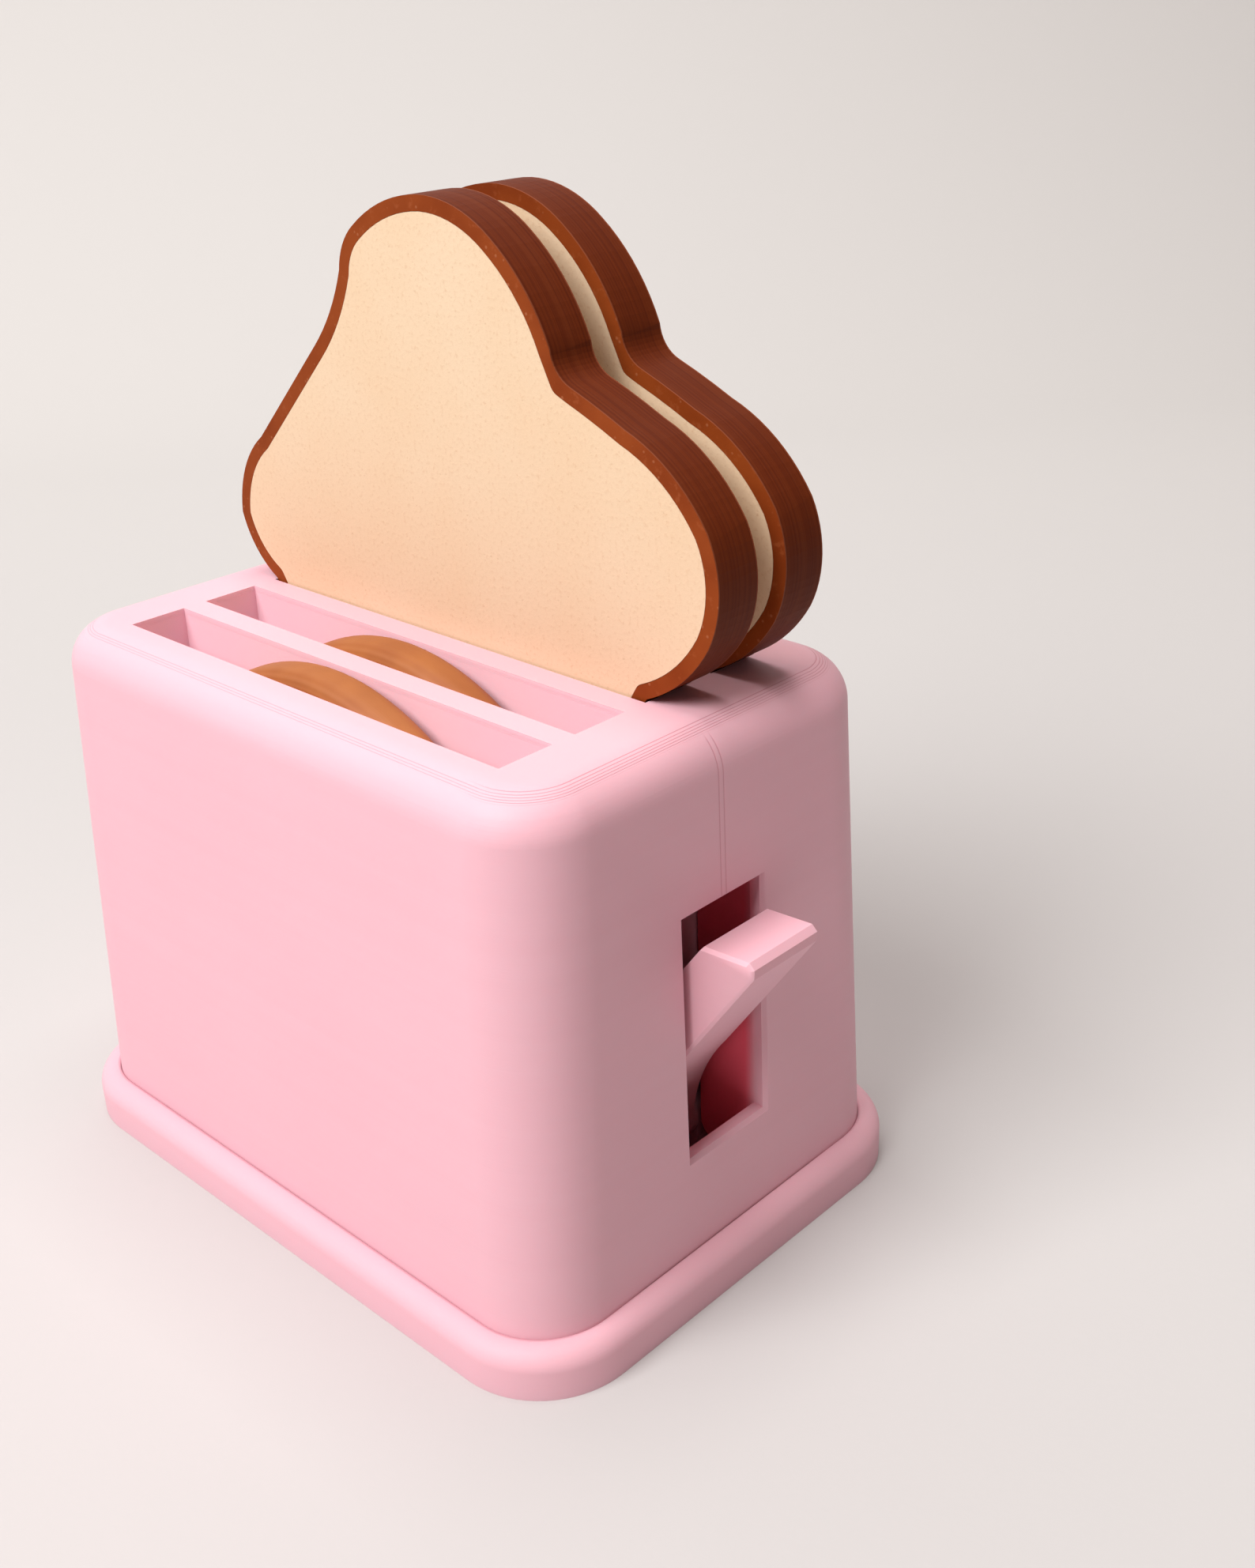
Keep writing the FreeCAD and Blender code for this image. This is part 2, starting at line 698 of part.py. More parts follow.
grooves = new_sketch(tray, "grooves", "XY", "tray_top")
for index in (2, 3):
    middle = slot_middle(index)
    add_box(grooves, "0 - riser_left - riser_gap", "riser_right + riser_gap",
            middle + " - riser_thickness / 2 - riser_gap", middle + " + riser_thickness / 2 + riser_gap")
pocket(tray, grooves, "riser_groove")


# Turned and plain pieces that come in groups


def group(name, shapes):
    """One node that holds several separate solids."""
    item = doc.addObject("Part::Feature", name)
    item.Label = name
    item.Shape = Part.makeCompound(shapes)
    return item


def cylinder(across, up, low, high, radius):
    place = FreeCAD.Vector(value(across), value(up), value(low))
    return Part.makeCylinder(value(radius), value(high) - value(low), place)


def screw(across, up, low, head, head_height, shank_size, high):
    """A screw driven upwards: a round head with a cross recess under a plain shank."""
    neck = low + " + " + head_height
    solid = cylinder(across, up, low, neck, head + " / 2")
    solid = solid.fuse(cylinder(across, up, neck, high, "(" + shank_size + ") / 2"))
    arm, depth, half = value(head) * 0.3, value(head_height) * 0.6, value(head) * 0.07
    for long_x, long_y in ((arm, half), (half, arm)):
        corner = FreeCAD.Vector(value(across) - long_x, value(up) - long_y, value(low))
        solid = solid.cut(Part.makeBox(2 * long_x, 2 * long_y, depth, corner))
    return solid.removeSplitter()


fit_shank = "small_shank - 2 * post_fit"
base_screw_low = "recess_depth - screw_head_height"
base_screws = group("base_screws", [
    screw(across, up, base_screw_low, "screw_head", "screw_head_height", "screw_shank - 2 * post_fit",
          "seat_level + screw_length - 1")
    for across, up in base_screw_places()])
bracket_screws = group("bracket_screws", [
    screw(across, up, "0.1", "small_head", "small_head_height - 0.1", fit_shank,
          "floor_thickness + bracket_boss_height - 1.6")
    for across, up in bracket_screw_places()])
rack_screws = group("rack_screws", [
    screw(across, up, "block_level - flange_thickness - small_head_height", "small_head",
          "small_head_height", fit_shank, "block_level + small_screw_length - 1")
    for across, up in rack_screw_places()])
posts = group("guide_posts", [
    cylinder(across, up, "post_foot", "post_top", "post_diameter / 2")
    for across, up in post_places()])
risers = group("toast_risers", [
    Part.makeBox(
        value("riser_left + riser_right"), value("riser_thickness"),
        value("riser_top") - value("tray_top - riser_groove"),
        FreeCAD.Vector(-value("riser_left"), value(slot_middle(index)) - value("riser_thickness") / 2,
                       value("tray_top - riser_groove")))
    for index in (2, 3)])


# Toast slices: a lobed outline of arcs above the slot and a straight body down inside it.
# Each run of three points is one arc; the outline starts at the right end of the slot.
# It is drawn for a body and a shell of these sizes, and set to the real ones by on_slice.

DRAWN_BODY = 83.0
DRAWN_TOP = 89.6

ARCS = [
    ((42.3, 89.9), (49.2, 94.3), (53.8, 100.0)),
    ((53.8, 100.0), (55.7, 107.5), (53.8, 115.8)),
    ((53.8, 115.8), (47.9, 122.5), (39.7, 127.2)),
    ((39.7, 127.2), (34.9, 129.4), (30.0, 131.4)),
    ((30.0, 131.4), (27.6, 133.2), (26.5, 136.0)),
    ((26.5, 136.0), (22.3, 143.3), (16.0, 149.5)),
    ((16.0, 149.5), (9.5, 153.0), (2.0, 154.2)),
    ((2.0, 154.2), (-6.3, 152.6), (-13.0, 149.0)),
    ((-13.0, 149.0), (-15.4, 146.6), (-17.0, 142.5)),
    ((-17.0, 142.5), (-19.8, 136.9), (-25.0, 130.5)),
]
NOTCH = 4
NOTCH_CORNER = (28.4, 132.1)
LOBE = ((-42.0, 113.9), (-49.4, 103.6), (-50.0, 100.0))
FOOT = ((-50.0, 100.0), (-48.0, 95.2), (-42.3, 89.9))


def on_slice(pair):
    """A drawn point in its place on a slice that fits the slot and stands on the shell's top."""
    factor = value("slice_body") / DRAWN_BODY
    return FreeCAD.Vector(pair[0] * factor, 0, value("height") + (pair[1] - DRAWN_TOP) * factor)


def slice_wire(sharp_notch=False):
    """The slice's outer line in the XZ plane, with the notch rounded or drawn to its corner."""
    def line(first, second):
        return Part.LineSegment(first, second).toShape()

    def curve(arc):
        return Part.Arc(*[on_slice(pair) for pair in arc]).toShape()

    edges = []
    for index, arc in enumerate(ARCS):
        if index == NOTCH and sharp_notch:
            corner = on_slice(NOTCH_CORNER)
            edges += [line(on_slice(arc[0]), corner), line(corner, on_slice(arc[2]))]
        else:
            edges.append(curve(arc))
    edges.append(line(on_slice(ARCS[-1][2]), on_slice(LOBE[0])))
    edges += [curve(LOBE), curve(FOOT)]
    half, low, neck = value("slice_body") / 2, value("rack_bottom"), value("height") - 1.0
    turns = [FreeCAD.Vector(*place) for place in
             ((-half, 0, neck), (-half, 0, low), (half, 0, low), (half, 0, neck))]
    points = [on_slice(FOOT[2])] + turns + [on_slice(ARCS[0][0])]
    edges += [line(first, second) for first, second in zip(points, points[1:])]
    return Part.Wire(edges)


def slab(wire, front):
    """A flat slab of the slice's thickness from a closed line."""
    solid = Part.Face(wire).extrude(FreeCAD.Vector(0, value("slice_thickness"), 0))
    solid.translate(FreeCAD.Vector(0, front, 0))
    return solid


outer_wire = slice_wire()
notched_wire = slice_wire(sharp_notch=True)
crust_inner = notched_wire.makeOffset2D(-value("crust_width"), 0)
crumb_outer = notched_wire.makeOffset2D(-value("crust_width + crumb_gap"), 0)
for number, index in ((1, 2), (2, 3)):
    front = value(slot_fronts()[index] + " + slice_setback")
    crust = group("toast_%d_crust" % number, [])
    crust.Shape = slab(outer_wire, front).cut(slab(crust_inner, front))
    crumb = group("toast_%d_crumb" % number, [])
    crumb.Shape = slab(crumb_outer, front)


# Round waffles in the two front slots, with their edges rounded over

for number, index in ((1, 0), (2, 1)):
    waffle = new_body("waffle_%d" % number)
    round_outline = new_sketch(waffle, "round", "XZ", slot_middle(index))
    add_circle(round_outline, "0", "waffle_z", "2 * waffle_radius")
    pad(waffle, round_outline, "waffle_thickness", symmetric=True)
    round_edges(waffle, "edge", "waffle_edge", lambda edge: True)


# Check and write every piece

doc.recompute()
for item in doc.Objects:
    if "Invalid" in item.State or "Error" in item.State:
        raise ValueError(item.Label + " failed: " + str(item.State))
os.makedirs("parts", exist_ok=True)
for item in doc.Objects:
    if item.TypeId not in ("PartDesign::Body", "Part::Feature"):
        continue
    shape = item.Shape
    if shape.isNull() or not shape.isValid() or not shape.Solids:
        raise ValueError(item.Label + " has no valid shape")
    shape.exportStep("parts/" + item.Label + ".step")
    box = shape.BoundBox
    print("%-16s solids %d volume %9.1f  x %.2f..%.2f  y %.2f..%.2f  z %.2f..%.2f" % (
        item.Label, len(shape.Solids), shape.Volume, box.XMin, box.XMax, box.YMin, box.YMax, box.ZMin, box.ZMax))
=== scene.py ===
"""A pink toy toaster with toast slices and round cakes, dressed and lit for its portrait."""

from __future__ import annotations

import json
import logging
import math
from dataclasses import dataclass
from enum import Enum
from typing import Optional, Sequence, Union

import bmesh
import bpy
from mathutils import Matrix, Vector

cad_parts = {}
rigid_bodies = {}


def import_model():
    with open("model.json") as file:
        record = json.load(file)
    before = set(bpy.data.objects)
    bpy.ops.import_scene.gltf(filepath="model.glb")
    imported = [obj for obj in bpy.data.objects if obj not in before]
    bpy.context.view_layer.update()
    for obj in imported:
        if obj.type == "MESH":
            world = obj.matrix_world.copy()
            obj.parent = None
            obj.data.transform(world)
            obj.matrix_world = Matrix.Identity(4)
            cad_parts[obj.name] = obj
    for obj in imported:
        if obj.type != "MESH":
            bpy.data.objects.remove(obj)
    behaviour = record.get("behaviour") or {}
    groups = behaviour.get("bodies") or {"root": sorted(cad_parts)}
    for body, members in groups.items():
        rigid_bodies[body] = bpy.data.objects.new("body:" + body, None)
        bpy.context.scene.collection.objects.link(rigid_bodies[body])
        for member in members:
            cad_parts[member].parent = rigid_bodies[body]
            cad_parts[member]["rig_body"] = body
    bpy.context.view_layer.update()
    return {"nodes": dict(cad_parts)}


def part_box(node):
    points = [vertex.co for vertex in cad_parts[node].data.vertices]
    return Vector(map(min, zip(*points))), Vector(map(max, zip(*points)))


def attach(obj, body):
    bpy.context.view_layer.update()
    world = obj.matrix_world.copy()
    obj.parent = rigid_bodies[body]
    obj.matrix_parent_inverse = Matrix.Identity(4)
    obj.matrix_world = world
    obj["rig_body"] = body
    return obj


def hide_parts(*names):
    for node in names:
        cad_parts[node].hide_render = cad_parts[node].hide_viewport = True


LOG = logging.getLogger("toaster")
MM = 0.001
MERGE = 1e-6
PRINT_CREASE = 24.0
SCREW_CREASE = 35.0
Colour = tuple[float, float, float]
Span = tuple[float, float]
Wire = Union[float, bpy.types.NodeSocket]
Paint = Union[Colour, bpy.types.NodeSocket]


class Axis(Enum):
    """The direction in which a printed piece was built up, layer on layer."""

    Y = 1
    Z = 2

    def grain(self, along: float, across: float) -> tuple[float, float, float]:
        """Give a noise's scales: one along this axis, the other along the other two.

        Args:
            along: Grains per metre along the axis, where the layers lie close.
            across: Grains per metre along each layer.

        Returns:
            The scales along X, Y and Z.
        """
        scales = [across, across, across]
        scales[self.value] = along
        return (scales[0], scales[1], scales[2])


@dataclass(frozen=True)
class Tint:
    """A colour that shows in places, and how strongly it does."""

    colour: Colour
    strength: float


class Wiring:
    """A material's node tree, with short calls for the nodes that the finishes share."""

    def __init__(self, name: str) -> None:
        """Start an empty material with one surface shader.

        Args:
            name: The material's name.
        """
        self.material = bpy.data.materials.new(name)
        self.material.use_nodes = True
        self.tree = self.material.node_tree
        self.tree.nodes.clear()
        self.surface = self.tree.nodes.new("ShaderNodeBsdfPrincipled")
        output = self.tree.nodes.new("ShaderNodeOutputMaterial")
        self.tree.links.new(self.surface.outputs["BSDF"], output.inputs["Surface"])
        self.place = self.tree.nodes.new("ShaderNodeTexCoord").outputs["Object"]
        split = self.tree.nodes.new("ShaderNodeSeparateXYZ")
        self.tree.links.new(self.place, split.inputs[0])
        self.x, self.y, self.z = split.outputs

    def feed(self, socket: bpy.types.NodeSocket, source: Wire) -> None:
        """Link a wire to a socket, or set the socket to a number."""
        if isinstance(source, bpy.types.NodeSocket):
            self.tree.links.new(source, socket)
        else:
            socket.default_value = source

    def math(self, work: str, first: Wire, second: Wire = 0.0) -> bpy.types.NodeSocket:
        """Add one Math node.

        Args:
            work: The node's operation.
            first: The first input.
            second: The second input.

        Returns:
            The node's output.
        """
        node = self.tree.nodes.new("ShaderNodeMath")
        node.operation = work
        self.feed(node.inputs[0], first)
        self.feed(node.inputs[1], second)
        return node.outputs[0]

    def plus(self, first: Wire, second: Wire) -> bpy.types.NodeSocket:
        """Add two wires."""
        return self.math("ADD", first, second)

    def minus(self, first: Wire, second: Wire) -> bpy.types.NodeSocket:
        """Take the second wire from the first."""
        return self.math("SUBTRACT", first, second)

    def times(self, first: Wire, *others: Wire) -> Wire:
        """Multiply any number of wires."""
        result = first
        for other in others:
            result = self.math("MULTIPLY", result, other)
        return result

    def either_way(self, value: Wire) -> bpy.types.NodeSocket:
        """Give a value without its sign."""
        return self.math("ABSOLUTE", value)

    def swing(self, value: Wire, levels: Span) -> bpy.types.NodeSocket:
        """Give the first level plus the second level times a value."""
        return self.plus(self.times(value, levels[1]), levels[0])

    def ramp(self, value: Wire, low: float, high: float, soft: bool = True) -> bpy.types.NodeSocket:
        """Map a value from low to high onto 0 to 1, also downwards when low is the larger.

        Args:
            value: The wire to map.
            low: The value that gives 0.
            high: The value that gives 1.
            soft: Whether the ends are eased.

        Returns:
            The mapped wire.
        """
        node = self.tree.nodes.new("ShaderNodeMapRange")
        node.interpolation_type = "SMOOTHSTEP" if soft else "LINEAR"
        self.feed(node.inputs["Value"], value)
        node.inputs["From Min"].default_value = low
        node.inputs["From Max"].default_value = high
        return node.outputs["Result"]

    def stretched(self, scales: Sequence[float]) -> bpy.types.NodeSocket:
        """Give the object place scaled by one factor per axis."""
        node = self.tree.nodes.new("ShaderNodeVectorMath")
        node.operation = "MULTIPLY"
        self.feed(node.inputs[0], self.place)
        node.inputs[1].default_value = tuple(scales)
        return node.outputs[0]

    def noise(self, scales: Sequence[float], detail: float, rough: float) -> bpy.types.NodeSocket:
        """Add a noise whose grain may differ along each axis.

        Args:
            scales: Grains per metre along X, Y and Z.
            detail: The number of finer octaves.
            rough: How strong the finer octaves are.

        Returns:
            The noise, about 0.5 on average.
        """
        node = self.tree.nodes.new("ShaderNodeTexNoise")
        self.feed(node.inputs["Vector"], self.stretched(scales))
        node.inputs["Scale"].default_value = 1.0
        node.inputs["Detail"].default_value = detail
        node.inputs["Roughness"].default_value = rough
        return node.outputs["Fac"]

    def specks(self, scale: float, size: float, core: float = 0.4) -> bpy.types.NodeSocket:
        """Add small round specks.

        Args:
            scale: Specks per metre.
            size: A speck's radius, as a share of the way from one to the next.
            core: The share of the radius that is at full strength.

        Returns:
            1 in a speck and 0 between them.
        """
        node = self.tree.nodes.new("ShaderNodeTexVoronoi")
        self.feed(node.inputs["Vector"], self.place)
        node.inputs["Scale"].default_value = scale
        return self.ramp(node.outputs["Distance"], size, size * core)

    def blend(self, amount: Wire, first: Paint, second: Paint) -> bpy.types.NodeSocket:
        """Mix two colours.

        Args:
            amount: 0 for the first colour, 1 for the second.
            first: A colour or a wire.
            second: A colour or a wire.

        Returns:
            The mixed colour.
        """
        node = self.tree.nodes.new("ShaderNodeMix")
        node.data_type = "RGBA"
        self.feed(node.inputs[0], amount)
        for socket, colour in ((node.inputs[6], first), (node.inputs[7], second)):
            if isinstance(colour, bpy.types.NodeSocket):
                self.tree.links.new(colour, socket)
            else:
                socket.default_value = (*colour, 1.0)
        return node.outputs[2]

    def tinted(self, colour: Paint, where: Wire, tint: Tint) -> bpy.types.NodeSocket:
        """Lay a tint over a colour.

        Args:
            colour: The colour below.
            where: 1 where the tint shows, 0 where it doesn't.
            tint: The tint.

        Returns:
            The tinted colour.
        """
        return self.blend(self.times(where, tint.strength), colour, tint.colour)

    def facing(self, axis: Axis) -> bpy.types.NodeSocket:
        """Give how far the surface faces along an axis, from 0 to 1, whichever way."""
        geometry = self.tree.nodes.new("ShaderNodeNewGeometry")
        split = self.tree.nodes.new("ShaderNodeSeparateXYZ")
        self.tree.links.new(geometry.outputs["Normal"], split.inputs[0])
        return self.either_way(split.outputs[axis.value])

    def bump(self, height: bpy.types.NodeSocket, depth: float, strength: float) -> None:
        """Raise the surface by a height of 0 to 1 times a depth in metres."""
        node = self.tree.nodes.new("ShaderNodeBump")
        node.inputs["Strength"].default_value = strength
        node.inputs["Distance"].default_value = depth
        self.tree.links.new(height, node.inputs["Height"])
        self.tree.links.new(node.outputs["Normal"], self.surface.inputs["Normal"])

    def glow(self, weight: float, spread: Colour, reach: float) -> None:
        """Let light seep through the plastic, the red further than the rest.

        Args:
            weight: How much of the light goes in.
            spread: How far each colour travels, as shares of the reach.
            reach: The longest way in metres.
        """
        self.surface.inputs["Subsurface Weight"].default_value = weight
        self.surface.inputs["Subsurface Radius"].default_value = spread
        self.surface.inputs["Subsurface Scale"].default_value = reach

    def finish(self, colour: bpy.types.NodeSocket, rough: Wire, specular: float,
               metallic: float = 0.0) -> bpy.types.Material:
        """Wire the colour and roughness and set the constants on the shader.

        Args:
            colour: The base colour.
            rough: The roughness, a number or a wire.
            specular: The specular level.
            metallic: 1 for bare metal.

        Returns:
            The finished material.
        """
        self.tree.links.new(colour, self.surface.inputs["Base Color"])
        self.feed(self.surface.inputs["Roughness"], rough)
        self.surface.inputs["Specular IOR Level"].default_value = specular
        self.surface.inputs["Metallic"].default_value = metallic
        return self.material


@dataclass(frozen=True)
class HousingSeamAndPaintedLight:
    """Where the housing's seam, its painted shade (a redder inside) and its painted light (lighter slot
    walls) begin and end.
    """

    seam_off_middle: float = 0.5 * MM
    seam_edge: Span = (0.16 * MM, 0.05 * MM)
    seam_foot: Span = (62 * MM, 64 * MM)
    seam_head: Span = (88.6 * MM, 87.2 * MM)
    seam_end_wall: Span = (51 * MM, 53 * MM)
    seam_strength: float = 0.8
    # Painted shade: this deep red stands in for the light bounced about inside the pink housing.
    inside: Colour = (1.0, 0.15, 0.22)
    painted_shade_length: Span = (55.8 * MM, 53.0 * MM)
    painted_shade_width: Span = (24.0 * MM, 20.0 * MM)
    painted_shade_height: Span = (79.0 * MM, 72.0 * MM)
    # Painted light: this lighter pink stands in for light shining through the thin plastic of the slot
    # walls.
    painted_light_slot_wall: Colour = (0.93, 0.6, 0.69)
    painted_light_length: Span = (42.9 * MM, 42.5 * MM)
    painted_light_width: Span = (29.0 * MM, 28.0 * MM)
    painted_light_rim: Span = (89.58 * MM, 89.5 * MM)
    painted_light_foot: Span = (72.0 * MM, 79.0 * MM)

    def seam(self, wires: Wiring) -> Wire:
        """Draw the double seam that runs up the end wall above the lever."""
        off_middle = wires.either_way(wires.minus(wires.either_way(wires.y), self.seam_off_middle))
        return wires.times(wires.ramp(wires.z, *self.seam_foot), wires.ramp(wires.z, *self.seam_head),
                           wires.ramp(wires.x, *self.seam_end_wall),
                           wires.ramp(off_middle, *self.seam_edge), self.seam_strength)

    def colour(self, wires: Wiring, colour: Paint) -> Paint:
        """Paint shade on the inside as a deeper red, and paint light on the slots' walls as a lighter
        pink.

        Args:
            wires: The material.
            colour: The pink so far.

        Returns:
            The pink with both.
        """
        length, width = wires.either_way(wires.x), wires.either_way(wires.y)
        # Painted shade: 1 inside the housing, below the slots and away from its ends.
        painted_shade_inside = wires.times(wires.ramp(length, *self.painted_shade_length),
                             wires.ramp(wires.z, *self.painted_shade_height),
                             wires.ramp(width, *self.painted_shade_width))
        colour = wires.blend(painted_shade_inside, colour, self.inside)
        # Painted light: 1 on the upper part of the slot walls.
        walls = wires.times(wires.ramp(length, *self.painted_light_length), wires.ramp(width, *self.painted_light_width),
                            wires.ramp(wires.z, *self.painted_light_rim), wires.ramp(wires.z, *self.painted_light_foot))
        return wires.blend(walls, colour, self.painted_light_slot_wall)


@dataclass(frozen=True)
class PinkPrint:
    """Matte pink print: fine layers up the walls and step lines on the rounded top, their grooves
    darkened by painted shade.
    """

    name: str = "pink_print"
    seam_and_painted_light: Optional[HousingSeamAndPaintedLight] = None
    body: Colour = (0.81, 0.465, 0.54)
    deep: Colour = (0.78, 0.42, 0.49)
    evenness: float = 0.55
    # Painted shade: the step lines and the seam are real print marks; this darker tint paints the shade
    # in their grooves.
    painted_groove_shade: Tint = Tint((0.6, 0.22, 0.28), 0.65)
    top: float = 89.6 * MM
    layer: float = 0.2 * MM
    first_line: float = 0.05 * MM
    line_edge: Span = (0.034 * MM, 0.014 * MM)
    lines_from: Span = (0.16 * MM, 0.24 * MM)
    lines_to: Span = (1.5 * MM, 1.1 * MM)
    all_lines_at: Span = (40 * MM, 49 * MM)
    pair_from: Span = (0.46 * MM, 0.5 * MM)
    pair_to: Span = (1.04 * MM, 0.98 * MM)
    pair_strength: float = 0.7
    relief: float = 0.05 * MM
    rough: Span = (0.44, 0.16)
    glow: float = 0.12
    glow_spread: Colour = (1.0, 0.22, 0.28)
    glow_reach: float = 5.0 * MM

    def step_lines(self, wires: Wiring) -> Wire:
        """Draw the layers' steps on the rounded top: all at the lever's end, a pair elsewhere."""
        depth = wires.minus(self.top, wires.z)
        ladder = wires.math("PINGPONG", wires.plus(depth, self.first_line), self.layer / 2)
        window = wires.times(wires.ramp(depth, *self.lines_from), wires.ramp(depth, *self.lines_to))
        pair = wires.times(wires.ramp(depth, *self.pair_from), wires.ramp(depth, *self.pair_to))
        where = wires.math("MAXIMUM", wires.ramp(wires.x, *self.all_lines_at),
                           wires.times(pair, self.pair_strength))
        return wires.times(wires.ramp(ladder, *self.line_edge), window, where)

    def build(self) -> bpy.types.Material:
        """Make the material."""
        wires = Wiring(self.name)
        fine = wires.noise(Axis.Z.grain(2600, 18), 2.0, 0.6)
        bands = wires.noise(Axis.Z.grain(420, 6), 3.0, 0.6)
        cloud = wires.noise((30, 30, 30), 2.0, 0.5)
        lines = self.step_lines(wires)
        if self.seam_and_painted_light:
            lines = wires.math("MAXIMUM", lines, self.seam_and_painted_light.seam(wires))
        tone = wires.plus(wires.times(bands, 0.35), wires.times(cloud, 0.35))
        colour = wires.blend(wires.ramp(tone, 0.2, 0.5, soft=False), self.body, self.deep)
        colour = wires.blend(self.evenness, colour, self.body)
        # Painted shade darkens the pink along the step lines and the seam.
        colour = wires.tinted(colour, lines, self.painted_groove_shade)
        # Painted shade inside the housing and painted light on its slot walls.
        if self.seam_and_painted_light:
            colour = self.seam_and_painted_light.colour(wires, colour)
        ridges = wires.plus(wires.times(fine, 0.45), wires.times(bands, 0.06))
        wires.bump(wires.minus(ridges, lines), self.relief, strength=0.7)
        dull = wires.ramp(wires.plus(fine, cloud), 0.4, 1.6, soft=False)
        wires.glow(self.glow, self.glow_spread, self.glow_reach)
        return wires.finish(colour, wires.swing(dull, self.rough), specular=0.28)


@dataclass(frozen=True)
class BakedCrust:
    """Brown crust: orange-brown pitted faces, and a dark edge with fine lines along it and a painted
    highlight at its corners.
    """

    name: str
    middle: float
    half: float = 4.0 * MM
    # Painted highlight: a lighter line along the edge, next to each face, where a rounded corner would
    # catch the light.
    painted_highlight_width: Span = (0.34 * MM, 0.1 * MM)
    painted_rim_highlight: Tint = Tint((0.34, 0.1, 0.045), 0.5)
    edge: Colour = (0.128, 0.021, 0.004)
    edge_deep: Colour = (0.095, 0.014, 0.003)
    edge_band: Tint = Tint((0.165, 0.036, 0.01), 0.18)
    face: Colour = (0.26, 0.052, 0.009)
    face_deep: Colour = (0.2, 0.034, 0.005)
    scratch: Tint = Tint((0.34, 0.09, 0.03), 0.4)
    pit: Tint = Tint((0.45, 0.17, 0.08), 0.4)
    relief: float = 0.06 * MM
    rough: Span = (0.46, 0.2)

    def build(self) -> bpy.types.Material:
        """Make the material."""
        wires = Wiring(self.name)
        fine = wires.noise(Axis.Y.grain(3400, 10), 2.0, 0.6)
        bands = wires.noise(Axis.Y.grain(900, 14), 2.0, 0.55)
        cloud = wires.noise((60, 60, 60), 3.0, 0.6)
        scratches = wires.noise(Axis.Y.grain(60, 500), 3.0, 0.7)
        pits = wires.specks(520, 0.16)
        on_face = wires.ramp(wires.facing(Axis.Y), 0.6, 0.8)
        away = wires.either_way(wires.minus(wires.y, self.middle))
        # Painted highlight: 1 on a thin strip of the edge next to each face.
        painted_rim_highlight = wires.ramp(away, self.half - self.painted_highlight_width[0], self.half - self.painted_highlight_width[1])
        edge = wires.blend(wires.ramp(fine, 0.35, 0.7), self.edge, self.edge_deep)
        edge = wires.tinted(edge, wires.ramp(bands, 0.5, 0.68), self.edge_band)
        edge = wires.tinted(edge, painted_rim_highlight, self.painted_rim_highlight)
        face = wires.blend(wires.ramp(cloud, 0.35, 0.68), self.face, self.face_deep)
        face = wires.tinted(face, wires.ramp(scratches, 0.55, 0.7), self.scratch)
        face = wires.tinted(face, pits, self.pit)
        ridges = wires.plus(wires.times(fine, 0.5), wires.times(bands, 0.2))
        grain = wires.plus(wires.times(scratches, 0.5), wires.times(pits, 0.6))
        height = wires.plus(wires.times(wires.minus(1.0, on_face), ridges), wires.times(on_face, grain))
        wires.bump(height, self.relief, strength=0.7)
        colour = wires.blend(on_face, edge, face)
        return wires.finish(colour, wires.swing(cloud, self.rough), specular=0.09)


@dataclass(frozen=True)
class CreamCrumb:
    """Cream crumb with a fine sandy grain, a little warmer near the slots."""

    name: str = "crumb"
    body: Colour = (0.77, 0.6, 0.42)
    warm: Colour = (0.76, 0.572, 0.385)
    low: Tint = Tint((0.73, 0.46, 0.3), 0.25)
    low_height: Span = (128 * MM, 88 * MM)
    sand: Tint = Tint((0.6, 0.37, 0.21), 0.4)
    dot: Tint = Tint((0.55, 0.32, 0.17), 0.2)
    relief: float = 0.06 * MM
    rough: Span = (0.55, 0.2)

    def build(self) -> bpy.types.Material:
        """Make the material."""
        wires = Wiring(self.name)
        sand = wires.noise((1500, 1500, 1500), 3.0, 0.65)
        cloud = wires.noise((45, 45, 45), 2.0, 0.5)
        dots = wires.specks(620, 0.14)
        colour = wires.blend(wires.ramp(cloud, 0.3, 0.75), self.body, self.warm)
        colour = wires.tinted(colour, wires.ramp(wires.z, *self.low_height), self.low)
        colour = wires.tinted(colour, wires.ramp(sand, 0.5, 0.75), self.sand)
        colour = wires.tinted(colour, dots, self.dot)
        wires.bump(wires.minus(sand, wires.times(dots, 0.4)), self.relief, strength=0.8)
        return wires.finish(colour, wires.swing(sand, self.rough), specular=0.2)


